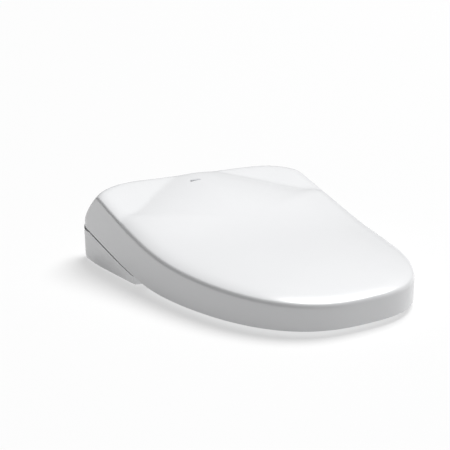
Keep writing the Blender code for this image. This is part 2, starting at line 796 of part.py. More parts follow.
def make_nozzle():
    tip_end = NOZZLE_BACK + NOZZLE_TIP
    tail = NOZZLE_BACK + NOZZLE_LENGTH
    tube = rod("nozzle_tube", nozzle_point(tail), nozzle_point(tip_end + GAP), NOZZLE_RADIUS, "seat_white")
    ends = nozzle_point(tip_end), nozzle_point(NOZZLE_BACK)
    tip = rod("nozzle_tip", *ends, NOZZLE_RADIUS, "seat_white", end_radius=0.0055)
    ends = [nozzle_point(tip_end - 0.008, above) for above in (0.004, 0.012)]
    jet = rod("jet", *ends, 0.0016, sides=12)
    boolean(tip, [jet])
    inner = NOZZLE_RADIUS + GAP
    nozzle_block(
        "nozzle_rack",
        (inner, inner + RACK_THICK),
        (tip_end + 0.006, tail),
        (-0.003, 0.003),
        "engineering_grey",
    )
    deep = NOZZLE_RADIUS + GAP
    along = (0.018, tail - 0.006)
    nozzle_block("nozzle_guide", (-0.011, 0.011), along, (-deep - 0.003, -deep), "engineering_grey")
    centre = nozzle_point(PINION_ALONG, 0, inner + RACK_THICK + PINION_RADIUS + GAP)
    start, end = centre - NOZZLE_UP * 0.0035, centre + NOZZLE_UP * 0.0035
    finish = "engineering_grey"
    hollow_rod("nozzle_pinion", start, end, PINION_RADIUS, 0.0019, finish, sides=20, origin=centre)
    motor_low, motor_high = centre + NOZZLE_UP * 0.0045, centre + NOZZLE_UP * 0.0185
    motor = rod("nozzle_motor", motor_low, motor_high, 0.0105, "steel")
    shaft = start + NOZZLE_UP * 0.001, motor_low + NOZZLE_UP * 0.001
    join(motor, [rod("motor_shaft", *shaft, 0.0014, "steel", 12)])


def cut_openings(pan, case):
    """Cuts the nozzle's way out of the housing and the case, and the housing's side and rear holes."""
    across = (-WINDOW_HALF, WINDOW_HALF)
    tilt = nozzle_block("nozzle_way", across, (-0.045, 0.034), (-0.0125, 0.0125), "soft_rubber")
    way = box("nozzle_notch", (-WINDOW_HALF, WINDOW_HALF), (0.176, 0.215), (-0.01, 0.033))
    boolean(case, [way])
    boolean(pan, [way, tilt])
    bpy.data.objects.remove(tilt)
    outlet = box("dryer_outlet", DUCT_X, (TALL_FRONT - 0.006, TALL_FRONT + 0.006), DUCT_Z)
    boolean(case, [outlet])
    inlet = rod("inlet_hole", INLET - Vector((0, 0.02, 0)), INLET + Vector((0, 0.02, 0)), INLET_RADIUS + GAP)
    gland = rod("gland_hole", GLAND - Vector((0, 0.02, 0)), GLAND + Vector((0, 0.02, 0)), GLAND_RADIUS + GAP)
    side = HALF_WIDTH + WALL
    drawer = box(
        "drawer_hole",
        (side - 0.012, side),
        (DRAWER_REAR - GAP, DRAWER_FRONT + GAP),
        (DRAWER_LOW - GAP, DRAWER_HIGH + GAP),
    )
    cuts = [inlet, gland, drawer]
    for name, depth, z, _ in BUTTONS:
        ends = place(side - 0.012, depth, z), place(side, depth, z)
        cuts.append(rod(name + "_hole", *ends, BUTTON_RADIUS + GAP, sides=20))
    low, high = RELEASE_Z
    depth = (RELEASE_DEPTH[0] - GAP, RELEASE_DEPTH[1] + GAP)
    cuts.append(box("release_hole", (side - 0.012, side), depth, (low - GAP, high + GAP)))
    boolean(pan, cuts)


def make_side_fittings():
    inner = HALF_WIDTH - PAN_INSET - WALL - 0.006
    for name, depth, z, finish in BUTTONS:
        face = float(half_width(depth)) - PAN_INSET + BUTTON_PROUD
        start = place(inner, depth, z)
        rod(name, start, place(face, depth, z), BUTTON_RADIUS, finish, sides=20, origin=start)
    face = float(half_width(RELEASE_DEPTH[1])) - PAN_INSET + BUTTON_PROUD
    start = place(inner, sum(RELEASE_DEPTH) / 2, sum(RELEASE_Z) / 2)
    box("release_button", (inner, face), RELEASE_DEPTH, RELEASE_Z, "seat_white", bevel=0.0008, origin=start)
    face = float(half_width(DRAWER_FRONT)) - PAN_INSET
    start = place(face, (DRAWER_REAR + DRAWER_FRONT) / 2, DRAWER_LOW)
    drawer = box(
        "filter_drawer",
        (face - DRAWER_LENGTH, face),
        (DRAWER_REAR, DRAWER_FRONT),
        (DRAWER_LOW, DRAWER_HIGH),
        "shell_white",
        origin=start,
    )
    tray = box(
        "drawer_tray",
        (face - DRAWER_LENGTH + WALL, face - WALL),
        (DRAWER_REAR + WALL, DRAWER_FRONT - WALL),
        (DRAWER_LOW + WALL, DRAWER_HIGH + WALL),
    )
    boolean(drawer, [tray])
    clear = WALL + GAP
    box(
        "carbon_filter",
        (face - DRAWER_LENGTH + clear, face - clear),
        (DRAWER_REAR + clear, DRAWER_FRONT - clear),
        (DRAWER_LOW + clear, DRAWER_HIGH - WALL),
        "carbon_black",
    )


def make_fan(name, x, depth, low, high, radius, finish="engineering_grey"):
    """A hub with straight blades on a vertical axis."""
    at = place(x, depth, low)
    hub = rod(name, at, place(x, depth, high), radius * 0.4, finish, 16)
    for step in range(7):
        spans = (x - 0.0006, x + 0.0006), (depth, depth + radius * 0.97), (low + 0.001, high - 0.001)
        blade = box("blade", *spans, finish)
        turn = Matrix.Translation(at) @ Matrix.Rotation(step * math.tau / 7, 4, "Z") @ Matrix.Translation(-at)
        blade.data.transform(turn)
        join(hub, [blade])
    hub.data.transform(Matrix.Translation(-at))
    hub.location = at


def make_blower(name, x, depth, low, radius, height, motor_radius, motor_height):
    """An open scroll cup, its fan and the motor above it."""
    room = radius + CUP_CLEAR
    ends = place(x, depth, low), place(x, depth, low + height)
    cup = rod(name + "_housing", *ends, room + WALL, "dark_plastic", 32)
    ends = place(x, depth, low + WALL), place(x, depth, low + 2 * height)
    bore = rod(name + "_well", *ends, room, sides=32)
    boolean(cup, [bore])
    make_fan(name + "_fan", x, depth, low + WALL + 0.002, low + height - 0.003, radius)
    motor_low = low + height - 0.002
    ends = place(x, depth, motor_low), place(x, depth, motor_low + motor_height)
    rod(name + "_motor", *ends, motor_radius, "steel")
    return cup


def make_air():
    cup = make_blower("dryer", FAN_X, FAN_DEPTH, 0.014, FAN_RADIUS, 0.036, 0.013, 0.014)
    front = FAN_DEPTH + FAN_RADIUS + CUP_CLEAR
    x, z = (DUCT_X[0] + WALL, DUCT_X[1] - WALL), (DUCT_Z[0] + WALL, DUCT_Z[1] - WALL)
    port = box("dryer_port", x, (front - 0.010, front + 0.010), z)
    boolean(cup, [port])
    duct_x = (DUCT_X[0] + GAP, DUCT_X[1] - GAP)
    duct_z = (DUCT_Z[0] + GAP, DUCT_Z[1] - GAP)
    duct = box("dryer_duct", duct_x, (front + WALL + GAP, TALL_FRONT), duct_z, "dark_plastic")
    wall = WALL * 0.6
    hollow = box(
        "duct_hollow",
        (duct_x[0] + wall, duct_x[1] - wall),
        (FAN_DEPTH, TALL_FRONT + 0.01),
        (duct_z[0] + wall, duct_z[1] - wall),
    )
    boolean(duct, [hollow])
    make_blower("deodorizer", 0, DEODOR_DEPTH, 0.011, DEODOR_RADIUS, 0.028, 0.009, 0.009)


def make_water():
    end = INLET + Vector((0, PAN_INSET - 0.027, 0))
    hollow_rod("water_inlet", INLET, end, INLET_RADIUS, 0.006, "brass", origin=INLET)
    strainer = [INLET - Vector((0, d, 0)) for d in (0.010, 0.024)]
    hollow_rod("inlet_strainer", *strainer, 0.006 - GAP, 0.004, "steel", sides=16)
    depth = REAR_TO_BOLTS - end.y
    side, front = INLET.x, depth + 0.026
    spans = (side - 0.016, side + 0.016), (depth + GAP, front), (0.012, 0.034)
    valve = box("solenoid_valve", *spans, "engineering_grey", bevel=0.001)
    ends = place(side, depth + 0.013, 0.033), place(side, depth + 0.013, 0.043)
    coil = rod("valve_coil", *ends, 0.009, "steel")
    join(valve, [coil])
    route = ((side, front + GAP), (side, 0.061), (side + 0.003, 0.069), (side + 0.012, 0.076))
    route += ((side + 0.026, 0.079),)
    route += ((-0.106, 0.080), (-0.094, 0.0805), (-0.087, 0.083), (-0.085, 0.086), (-0.085, 0.090 - GAP))
    hose("inlet_hose", [place(x, d, 0.024) for x, d in route], 0.0035)
    box("water_heater", (-0.108, -0.030), (0.090, 0.144), (0.013, 0.066), "dark_plastic", bevel=0.003)
    rod("flow_valve", place(-0.104, 0.166, 0.027), place(-0.066, 0.166, 0.027), 0.011, "engineering_grey")
    hose("heater_hose", [place(-0.085, 0.144 + GAP, 0.027), place(-0.085, 0.155 - GAP, 0.027)], 0.0038)
    rod("vacuum_breaker", place(-0.042, 0.166, 0.013), place(-0.042, 0.166, 0.052), 0.010, "engineering_grey")
    hose("valve_hose", [place(-0.066 + GAP, 0.166, 0.027), place(-0.052 - GAP, 0.166, 0.027)], 0.0038)
    route = ((-0.032 + GAP, 0.166, 0.044), (-0.0275, 0.166, 0.044), (-0.0215, 0.163, 0.043))
    route += ((-0.0175, 0.156, 0.041), (-0.0165, 0.148, 0.038), (-0.0165, 0.138, 0.036))
    hose("nozzle_hose", [place(*point) for point in route], 0.003)


def make_electrics():
    end = GLAND - Vector((0, 0.014, 0))
    hollow_rod("cord_gland", GLAND, end, GLAND_RADIUS, 0.0036, "dark_plastic", origin=GLAND)
    inner = HALF_WIDTH - PAN_INSET - WALL
    box("power_supply", (inner - 0.063, inner - 0.017), (0.020, 0.072), (0.010, 0.038), "steel", bevel=0.001)
    board = box("control_board", (0.036, 0.114), (0.086, 0.176), (0.068, 0.0696), "board_green")
    chips = (((0.045, 0.060), (0.100, 0.115)), ((0.070, 0.090), (0.120, 0.134)))
    chips += (((0.060, 0.075), (0.150, 0.162)),)
    join(board, [box("chip", x, depth, (0.069, 0.0725), "dark_plastic") for x, depth in chips])
    spans = (0.026, 0.046), (TALL_FRONT + GAP, TALL_FRONT + 0.002), (0.052, 0.058)
    box("night_light_lens", *spans, "frosted_lens", bevel=0.0005)


def carry(name, at, pieces):
    """Parents pieces to an empty that stands on their joint's axis."""
    axis = bpy.data.objects.new(name, None)
    PARTS.objects.link(axis)
    axis.location = at
    bpy.context.view_layer.update()
    for piece in pieces:
        obj = bpy.data.objects[piece]
        obj.parent = axis
        obj.matrix_parent_inverse = axis.matrix_world.inverted()


make_plate()
pan = make_pan()
case = make_case()
make_hinge_mounts()
make_nozzle()
cut_openings(pan, case)
make_side_fittings()
make_air()
make_water()
make_electrics()
make_seat()
make_lid()
make_lid_fittings()
bumpers = [f"seat_bumper_{end}_{side}" for end in ("front", "rear") for side, _ in SIDES]
carry("seat_axis", HINGE, ["seat_top", "seat_base", "seat_heater"] + bumpers)
carry("lid_axis", HINGE, ["lid_shell", "lid_bumper_left", "lid_bumper_right", "lid_badge", "lid_magnet"])
carry("nozzle_line", NOZZLE_EXIT, ["nozzle_tube", "nozzle_tip", "nozzle_rack"])
carry("drawer_line", place(HALF_WIDTH, DRAWER_REAR, DRAWER_LOW), ["filter_drawer", "carbon_filter"])
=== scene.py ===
# Electric bidet seat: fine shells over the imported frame, materials, soft studio light and camera.

import json
import math

import bmesh
import bpy
import numpy as np
from mathutils import Matrix, Vector


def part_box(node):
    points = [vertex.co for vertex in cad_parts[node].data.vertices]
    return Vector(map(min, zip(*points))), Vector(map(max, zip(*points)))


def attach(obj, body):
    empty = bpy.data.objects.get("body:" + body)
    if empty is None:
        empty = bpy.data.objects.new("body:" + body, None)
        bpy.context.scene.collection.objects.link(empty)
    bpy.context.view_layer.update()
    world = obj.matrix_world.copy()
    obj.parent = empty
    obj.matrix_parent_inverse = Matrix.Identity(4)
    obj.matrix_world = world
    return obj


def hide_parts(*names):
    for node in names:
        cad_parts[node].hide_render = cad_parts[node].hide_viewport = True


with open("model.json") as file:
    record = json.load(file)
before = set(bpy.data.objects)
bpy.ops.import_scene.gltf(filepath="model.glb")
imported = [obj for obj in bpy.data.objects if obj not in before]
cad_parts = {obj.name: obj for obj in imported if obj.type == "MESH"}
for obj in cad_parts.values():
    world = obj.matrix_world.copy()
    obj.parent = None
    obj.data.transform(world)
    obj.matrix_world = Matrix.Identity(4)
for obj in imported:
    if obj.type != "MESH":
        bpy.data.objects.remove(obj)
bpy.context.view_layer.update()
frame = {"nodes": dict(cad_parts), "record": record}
record = frame["record"]
slotOf = {part["node"]: part["material_slot"] for part in record["subparts"]}

# Lengths along the seat are depths, measured forwards from the rear face, in metres.
seat = dict(
    rearToBolts=0.062,
    length=0.531,
    halfWidth=0.1945,
    corner=0.031,
    rearGap=0.002,
    wall=0.0025,
    narrowFrom=0.040,
    planPower=3.19,
    sidePower=2.69,
    hingeDepth=0.035,
    hingeZ=0.095,
    sweep=0.0405,
    sweepGap=0.001,
    seam=0.001,
    skirtLow=0.0096,
    skirtRise=0.217,
    skirtBend=0.248,
    skirtSoft=0.025,
    rimLow=0.039,
    rimRise=0.231,
    rimBend=0.2735,
    rimSoft=0.0332,
    rimFall=0.065,
)
sharpAngle = math.radians(40)
turnWeight = 0.6


def place(x, depth, z):
    # A point from its x, its depth from the rear face and its height.
    return Vector((x, seat["rearToBolts"] - depth, z))


hingePoint = place(0, seat["hingeDepth"], seat["hingeZ"])


def softRamp(depth, bend, soft):
    # A distance that falls to zero at the bend, with a soft turn in place of a corner.
    return soft * np.logaddexp(0, (bend - depth) / soft)


def softLeast(first, second, soft):
    # The smaller of two values, blended over the soft distance.
    return first - soft * np.logaddexp(0, (first - second) / soft)


def skirtLine(depth):
    # Lower edge of the lid's side: level at the front, then a straight rise to the rear.
    return seat["skirtLow"] + seat["skirtRise"] * softRamp(depth, seat["skirtBend"], seat["skirtSoft"])


def sweepFloor(depth, radius):
    # Lower half of the circle about the hinge line that the lid's rear passes through.
    return seat["hingeZ"] - np.sqrt(np.clip(radius**2 - (seat["hingeDepth"] - depth) ** 2, 0, None))


def skirtBottom(depth):
    # The skirt line, raised behind the hinge line to the circle that the lid's rear passes through.
    line = skirtLine(depth)
    return np.where(depth < seat["hingeDepth"], np.maximum(line, sweepFloor(depth, seat["sweep"])), line)


def rimLine(depth):
    # Height where the side turns into the top: two slopes with a soft bend between them.
    steep = seat["rimRise"] * softRamp(depth, seat["rimBend"], seat["rimSoft"])
    return seat["rimLow"] + steep + seat["rimFall"] * (seat["length"] - depth)


def panTop(depth):
    # Upper edge of the housing, one seam under the lid and clear of the circle that it sweeps.
    swept = sweepFloor(depth, seat["sweep"] + seat["sweepGap"])
    circle = np.where(depth < seat["hingeDepth"] + seat["sweep"], swept, 1.0)
    return np.minimum(circle, skirtLine(depth) - seat["seam"])


def planHalf(inset, rear, front, corner, count=600):
    # Half of a plan outline from the front tip to the rear centre, as x and depth.
    # The front is a superellipse, the rear corner an arc, and both ends are straight lines to the middle.
    turn = np.linspace(math.pi / 2, 0, count)
    x = (seat["halfWidth"] - inset) * np.cos(turn) ** (2 / seat["sidePower"])
    span = seat["length"] - inset - seat["narrowFrom"]
    depth = seat["narrowFrom"] + span * np.sin(turn) ** (2 / seat["planPower"])
    keep = (depth <= front) & (depth >= rear + corner)
    side = np.stack([x[keep], depth[keep]], 1)
    edge = np.interp(rear + corner, side[::-1, 1], side[::-1, 0])
    turn = np.linspace(0, math.pi / 2, count // 4)
    arc = np.stack([edge - corner * (1 - np.cos(turn)), rear + corner * (1 - np.sin(turn))], 1)
    cut = np.linspace(0, side[0, 0], count // 4, endpoint=False)
    tip = np.stack([cut, np.full_like(cut, side[0, 1])], 1) if side[0, 0] > 1e-4 else side[:0]
    back = np.linspace(arc[-1, 0], 0, count // 4)[1:]
    return np.concatenate([tip, side, arc, np.stack([back, np.full_like(back, rear)], 1)])


def spread(half, count):
    # Points of half an outline, shared out by its length and by how far it turns.
    legs = np.diff(half, axis=0)
    heading = np.unwrap(np.arctan2(legs[:, 1], legs[:, 0]))
    turned = np.append(np.abs(np.diff(heading)), 0)
    length = np.hypot(*legs.T)
    measure = np.append(0, np.cumsum(length / length.sum() + turnWeight * turned / turned.sum()))
    even = np.linspace(0, measure[-1], count)
    return np.stack([np.interp(even, measure, half[:, k]) for k in (0, 1)], 1)


def wholeOutline(half, count):
    # A closed outline, counterclockwise seen from above, from half of it.
    side = spread(half, count // 2 + 1)
    return np.concatenate([side, side[-2:0:-1] * [-1, 1]])[::-1]


def around(half, centre, angles):
    # Points of a symmetric outline at given angles about a centre on its middle line.
    offset = half[:, 1] - centre
    turn = np.arctan2(half[:, 0], offset)
    reach = np.interp(np.abs(angles), turn, np.hypot(half[:, 0], offset))
    return np.stack([np.sin(angles) * reach, centre + np.cos(angles) * reach], 1)


def anglesOf(half, centre, count):
    # Angles about a centre of points shared out round a whole outline.
    side = spread(half, count // 2 + 1)
    turn = np.arctan2(side[:, 0], side[:, 1] - centre)
    return np.append(turn, -turn[-2:0:-1])


def lift(flat, z):
    # World points from x and depth points and their heights.
    z = np.broadcast_to(z, flat.shape[:-1])
    return np.stack([flat[..., 0], seat["rearToBolts"] - flat[..., 1], z], -1)


def roundedBox(halfX, halfY, corner, count=160):
    # A closed outline of a rounded rectangle about the origin, as points at even angles of its four arcs.
    turn = np.arange(count) / count * math.tau + math.tau / count / 2
    cosine, sine = np.cos(turn), np.sin(turn)
    x = np.sign(cosine) * (halfX - corner) + corner * cosine
    y = np.sign(sine) * (halfY - corner) + corner * sine
    return np.stack([x, y], 1)


def gridMesh(name, points, closedRows=False, capped=(False, False)):
    # A mesh over a grid of points. Each row is a closed loop, and the last row may join the first.
    # A capped end row is filled with a fan of triangles to its middle.
    rows, columns = points.shape[:2]
    index = np.arange(rows * columns).reshape(rows, columns)
    across = np.append(index, index[:1], 0) if closedRows else index
    across = np.append(across, across[:, :1], 1)
    corners = [across[:-1, :-1], across[:-1, 1:], across[1:, 1:], across[1:, :-1]]
    quads = np.stack(corners, -1).reshape(-1, 4)
    flat = points.reshape(-1, 3)
    faces = quads.tolist()
    for isCapped, row in zip(capped, (0, rows - 1)):
        if isCapped:
            middle = len(flat)
            flat = np.append(flat, points[row].mean(0)[None], 0)
            ring = index[row]
            faces += np.stack([ring, np.roll(ring, -1), np.full(columns, middle)], 1).tolist()
    mesh = bpy.data.meshes.new(name)
    mesh.from_pydata(flat.tolist(), [], faces)
    work = bmesh.new()
    work.from_mesh(mesh)
    bmesh.ops.remove_doubles(work, verts=work.verts, dist=1e-7)
    bmesh.ops.recalc_face_normals(work, faces=work.faces)
    work.to_mesh(mesh)
    work.free()
    mesh.shade_smooth()
    mesh.set_sharp_from_angle(angle=sharpAngle)
    return mesh


def addPiece(name, mesh, body, material, replaced=(), slot=None):
    # Puts a finished mesh in the scene on a body, with a finish, in place of CAD nodes.
    piece = bpy.data.objects.new(name, mesh)
    bpy.context.scene.collection.objects.link(piece)
    piece.data.materials.clear()
    piece.data.materials.append(material)
    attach(piece, body)
    if replaced:
        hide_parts(*replaced)
        slot = slot or slotOf[replaced[0]]
    return piece


# Finishes


def nodeMaterial(name, colour, roughness, metallic=0.0):
    made = bpy.data.materials.new(name)
    made.use_nodes = True
    shader = made.node_tree.nodes["Principled BSDF"]
    shader.inputs["Base Color"].default_value = (*colour, 1)
    shader.inputs["Roughness"].default_value = roughness
    shader.inputs["Metallic"].default_value = metallic
    return made, made.node_tree, shader


def objectCoordinates(tree, stretch=(1, 1, 1)):
    source = tree.nodes.new("ShaderNodeTexCoord")
    mapping = tree.nodes.new("ShaderNodeMapping")
    mapping.inputs["Scale"].default_value = stretch
    tree.links.new(source.outputs["Object"], mapping.inputs["Vector"])
    return mapping.outputs["Vector"]


def noiseOf(tree, vector, scale, detail=3):
    noise = tree.nodes.new("ShaderNodeTexNoise")
    noise.inputs["Scale"].default_value = scale
    noise.inputs["Detail"].default_value = detail
    tree.links.new(vector, noise.inputs["Vector"])
    return noise.outputs["Fac"]


def ranged(tree, value, low, high):
    # A value from 0 to 1 remapped to lie between low and high.
    remap = tree.nodes.new("ShaderNodeMapRange")
    remap.inputs["To Min"].default_value = low
    remap.inputs["To Max"].default_value = high
    tree.links.new(value, remap.inputs["Value"])
    return remap.outputs["Result"]


def bumped(tree, shader, value, strength, distance):
    bump = tree.nodes.new("ShaderNodeBump")
    bump.inputs["Strength"].default_value = strength
    bump.inputs["Distance"].default_value = distance
    tree.links.new(value, bump.inputs["Height"])
    tree.links.new(bump.outputs["Normal"], shader.inputs["Normal"])


def tinted(tree, shader, value, dark, pale):
    # Colour that runs from dark to pale with the value.
    ramp = tree.nodes.new("ShaderNodeValToRGB")
    ramp.color_ramp.elements[0].color = (*dark, 1)
    ramp.color_ramp.elements[1].color = (*pale, 1)
    tree.links.new(value, ramp.inputs["Fac"])
    tree.links.new(ramp.outputs["Color"], shader.inputs["Base Color"])
    return ramp


def glossWhite(name, dark, pale, roughness, flow=9.0):
    # Moulded white shell: a clear skin over a faintly uneven body, with the long soft waves of a moulding.
    made, tree, shader = nodeMaterial(name, pale, roughness)
    where = objectCoordinates(tree)
    tinted(tree, shader, noiseOf(tree, where, flow), dark, pale)
    mist = noiseOf(tree, where, 260.0, 4)
    tree.links.new(ranged(tree, mist, roughness - 0.03, roughness + 0.05), shader.inputs["Roughness"])
    bumped(tree, shader, noiseOf(tree, where, 22.0, 2), 0.03, 0.0006)
    shader.inputs["Coat Weight"].default_value = 0.15
    shader.inputs["Coat Roughness"].default_value = 0.08
    shader.inputs["Subsurface Weight"].default_value = 0.04
    shader.inputs["Subsurface Radius"].default_value = (0.004, 0.004, 0.004)
    return made


def grained(name, dark, pale, roughness, grain=900.0, depth=0.0002, metallic=0.0, stretch=(1, 1, 1)):
    # Moulded or worked surface with a fine grain, which a stretch turns into brush lines.
    made, tree, shader = nodeMaterial(name, pale, roughness, metallic)
    where = objectCoordinates(tree, stretch)
    grainValue = noiseOf(tree, where, grain, 5)
    tinted(tree, shader, noiseOf(tree, where, grain / 30, 3), dark, pale)
    tree.links.new(ranged(tree, grainValue, roughness - 0.08, roughness + 0.10), shader.inputs["Roughness"])
    bumped(tree, shader, grainValue, 0.25, depth)
    return made


def boardGreen():
    # Lacquered circuit board: pale tracks in a square net over the lacquer.
    made, tree, shader = nodeMaterial("boardGreen", (0.02, 0.16, 0.07), 0.3)
    where = objectCoordinates(tree, (1, 1, 1))
    brick = tree.nodes.new("ShaderNodeTexBrick")
    brick.inputs["Scale"].default_value = 160.0
    brick.inputs["Mortar Size"].default_value = 0.03
    brick.inputs["Color1"].default_value = (0.012, 0.12, 0.05, 1)
    brick.inputs["Color2"].default_value = (0.016, 0.15, 0.06, 1)
    brick.inputs["Mortar"].default_value = (0.10, 0.34, 0.16, 1)
    tree.links.new(where, brick.inputs["Vector"])
    tree.links.new(brick.outputs["Color"], shader.inputs["Base Color"])
    bumped(tree, shader, brick.outputs["Fac"], 0.3, 0.0001)
    return made


def carbonBlack():
    # Pressed carbon grains with pores between them.
    made, tree, shader = nodeMaterial("carbonBlack", (0.02, 0.02, 0.02), 0.95)
    pores = tree.nodes.new("ShaderNodeTexVoronoi")
    pores.inputs["Scale"].default_value = 520.0
    tree.links.new(objectCoordinates(tree), pores.inputs["Vector"])
    tinted(tree, shader, pores.outputs["Distance"], (0.045, 0.045, 0.048), (0.006, 0.006, 0.006))
    bumped(tree, shader, pores.outputs["Distance"], 0.9, 0.0006)
    return made


finishes = {
    "shell_white": glossWhite("shellWhite", (0.785, 0.79, 0.80), (0.81, 0.815, 0.825), 0.24),
    "seat_white": glossWhite("seatWhite", (0.76, 0.77, 0.78), (0.80, 0.81, 0.82), 0.28, 14.0),
    "engineering_grey": grained("engineeringGrey", (0.29, 0.30, 0.32), (0.38, 0.39, 0.41), 0.5),
    "dark_plastic": grained("darkPlastic", (0.035, 0.035, 0.04), (0.06, 0.06, 0.066), 0.42),
    "clear_smoke": grained("clearSmoke", (0.07, 0.02, 0.022), (0.11, 0.03, 0.032), 0.14, 300.0, 0.00002),
    "frosted_lens": grained("frostedLens", (0.68, 0.78, 0.88), (0.78, 0.87, 0.95), 0.34, 1400.0, 0.00005),
    "soft_rubber": grained("softRubber", (0.48, 0.49, 0.50), (0.58, 0.59, 0.60), 0.78, 700.0, 0.0003),
    "hose_rubber": grained("hoseRubber", (0.09, 0.09, 0.09), (0.14, 0.14, 0.14), 0.66, 500.0, 0.0003),
    "steel": grained(
        "brushedSteel", (0.52, 0.53, 0.55), (0.66, 0.67, 0.69), 0.30, 420.0, 0.00004, 1.0, (1, 1, 14)
    ),
    "brass": grained(
        "turnedBrass", (0.58, 0.42, 0.18), (0.74, 0.58, 0.30), 0.32, 420.0, 0.00004, 1.0, (1, 16, 1)
    ),
    "board_green": boardGreen(),
    "carbon_black": carbonBlack(),
    "foil": grained("heaterFoil", (0.66, 0.46, 0.28), (0.80, 0.60, 0.40), 0.38, 260.0, 0.0002, 1.0),
    "badge_grey": grained("badgeGrey", (0.50, 0.51, 0.53), (0.56, 0.57, 0.59), 0.34, 500.0, 0.00005, 0.3),
}
for node, obj in frame["nodes"].items():
    for holder in obj.material_slots:
        holder.material = finishes[slotOf[node]]
    if not obj.material_slots:
        obj.data.materials.append(finishes[slotOf[node]])
print("finishes ready")


# The lid

lid = dict(
    centre=0.235,
    edge=0.0038,
    shoulder=0.0052,
    shoulderRun=0.026,
    crown=0.013,
    crownPower=3.2,
    capLow=0.063,
    capTop=0.141,
    capReach=0.081,
    capPower=0.84,
    capSideReach=0.075,
    capSideLow=0.020,
    capSideFrom=0.095,
    capSidePower=2.9,
    capSoft=0.003,
    crease=((0.000, 0.034), (0.020, 0.042), (0.060, 0.070), (0.088, 0.092), (0.116, 0.116), (0.140, 0.136),
            (0.162, 0.150), (0.182, 0.156), (0.204, 0.158)),
    creaseSoft=14,
    creaseBend=12,
    lip=0.002,
    lipRise=0.2,
    leastSide=0.003,
    insets=(0.0008, 0.002, 0.004, 0.0065, 0.0095, 0.013, 0.017, 0.022, 0.027),
    columns=480,
)


def rearCap(x, depth):
    # The lid's rounded rear seen from the side: a superellipse, longer and lower towards the corners.
    span = seat["halfWidth"] - lid["capSideFrom"]
    aside = np.clip((np.abs(x) - lid["capSideFrom"]) / span, 0, 1) ** lid["capSidePower"]
    reach = lid["capReach"] + lid["capSideReach"] * aside
    share = np.clip(1 - (depth - seat["rearGap"]) / reach, 0, 1)
    low = lid["capLow"] - lid["capSideLow"] * aside
    return low + (lid["capTop"] - low) * (1 - share**2) ** lid["capPower"]


def creaseShare(angles, reach):
    # Share of the reach where the crown ends: at the rim, or at the crease that crosses each rear corner.
    # The crease is a smooth line through plan points, slanting from the rear and turning out to the side rim.
    x, depth = np.array(lid["crease"]).T
    knots = np.linspace(0, 1, len(x))
    fine = np.linspace(0, 1, 200)
    bend = lid["creaseBend"]
    window = np.ones(2 * bend + 1) / (2 * bend + 1)
    path = []
    for row in (x, depth):
        padded = np.pad(np.interp(fine, knots, row), bend, "reflect", reflect_type="odd")
        path.append(np.convolve(padded, window, "valid"))
    turn = np.arctan2(path[0], path[1] - lid["centre"])
    length = np.hypot(path[0], path[1] - lid["centre"])
    order = np.argsort(np.abs(angles))
    even = np.linspace(0, math.pi, 721)
    line = np.interp(even, turn[::-1], length[::-1], left=3.0)
    share = np.minimum(line / np.interp(even, np.abs(angles)[order], reach[order]), 1)
    soft = lid["creaseSoft"]
    window = np.ones(2 * soft + 1) / (2 * soft + 1)
    share = np.convolve(np.pad(share, soft, "reflect"), window, "valid")
    return np.interp(np.abs(angles), even, share)


def lidTop(x, depth, scale, reach, crease, offset):
    # The rim line with its tight edge and wider shoulder, and the crown, limited by the rear cap.
    # Scale is the share of the reach from the lid's centre, and each round falls by a quarter of an ellipse.
    inset = reach * (1 - scale)
    edge = lid["edge"] - offset
    fall = 0
    for width, height in ((edge, edge), (lid["shoulderRun"], lid["shoulder"])):
        fall = fall + height * (1 - np.sqrt(1 - np.clip(1 - inset / width, 0, 1) ** 2))
    crown = lid["crown"] * (1 - np.minimum(scale / crease, 1) ** lid["crownPower"])
    whole = rimLine(depth) + lid["edge"] + lid["shoulder"] + crown
    return softLeast(whole, rearCap(x, depth - offset), lid["capSoft"]) - fall - offset


def lidSkin(offset, lowerEdge):
    # Loops from the skirt's lower edge up the side, round the rim and in over the top to the centre.
    half = planHalf(offset, seat["rearGap"] + offset, seat["length"], seat["corner"] - offset)
    outline = around(half, lid["centre"], lidAngles)
    reach = np.hypot(outline[:, 0], outline[:, 1] - lid["centre"])
    crease = creaseShare(lidAngles, reach)
    edgeInsets = (lid["edge"] - offset) * (1 - np.cos(np.linspace(0, math.pi / 2, 11)))
    start = lidTop(*outline.T, np.ones_like(reach), reach, crease, offset)
    start = np.maximum(start, lowerEdge + lid["leastSide"])
    loops = [lift(outline, lowerEdge + (start - lowerEdge) * share) for share in np.linspace(0, 1, 9)]
    inner = edgeInsets[-1] + np.array(lid["insets"])
    steps = [(inset, 1.0) for inset in np.append(edgeInsets[1:], inner)]
    steps += [(inner[-1], share) for share in np.linspace(1, 0, 56)[1:-1]]
    for inset, share in steps:
        scale = (reach - inset) / reach * share
        flat = (outline - [0, lid["centre"]]) * scale[:, None] + [0, lid["centre"]]
        z = lidTop(*flat.T, scale, reach, crease, offset)
        loops.append(lift(flat, np.maximum(z, lowerEdge + lid["lip"] + lid["lipRise"] * inset)))
    return np.stack(loops)


def buildLid():
    # One closed skin: the outside, the lower edge and the inside, one wall in.
    lower = skirtBottom(lidOutline[:, 1])
    outer = lidSkin(0.0, lower)
    inner = lidSkin(seat["wall"], lower)
    mesh = gridMesh("lidShell", np.concatenate([outer[::-1], inner]), capped=(True, True))
    addPiece("lidShell", mesh, "lid", finishes["shell_white"], ["lid_shell"])


lidHalf = planHalf(0, seat["rearGap"], seat["length"], seat["corner"])
lidAngles = anglesOf(lidHalf, lid["centre"], lid["columns"])
lidOutline = around(lidHalf, lid["centre"], lidAngles)
buildLid()
print("lid ready")


# Cutters


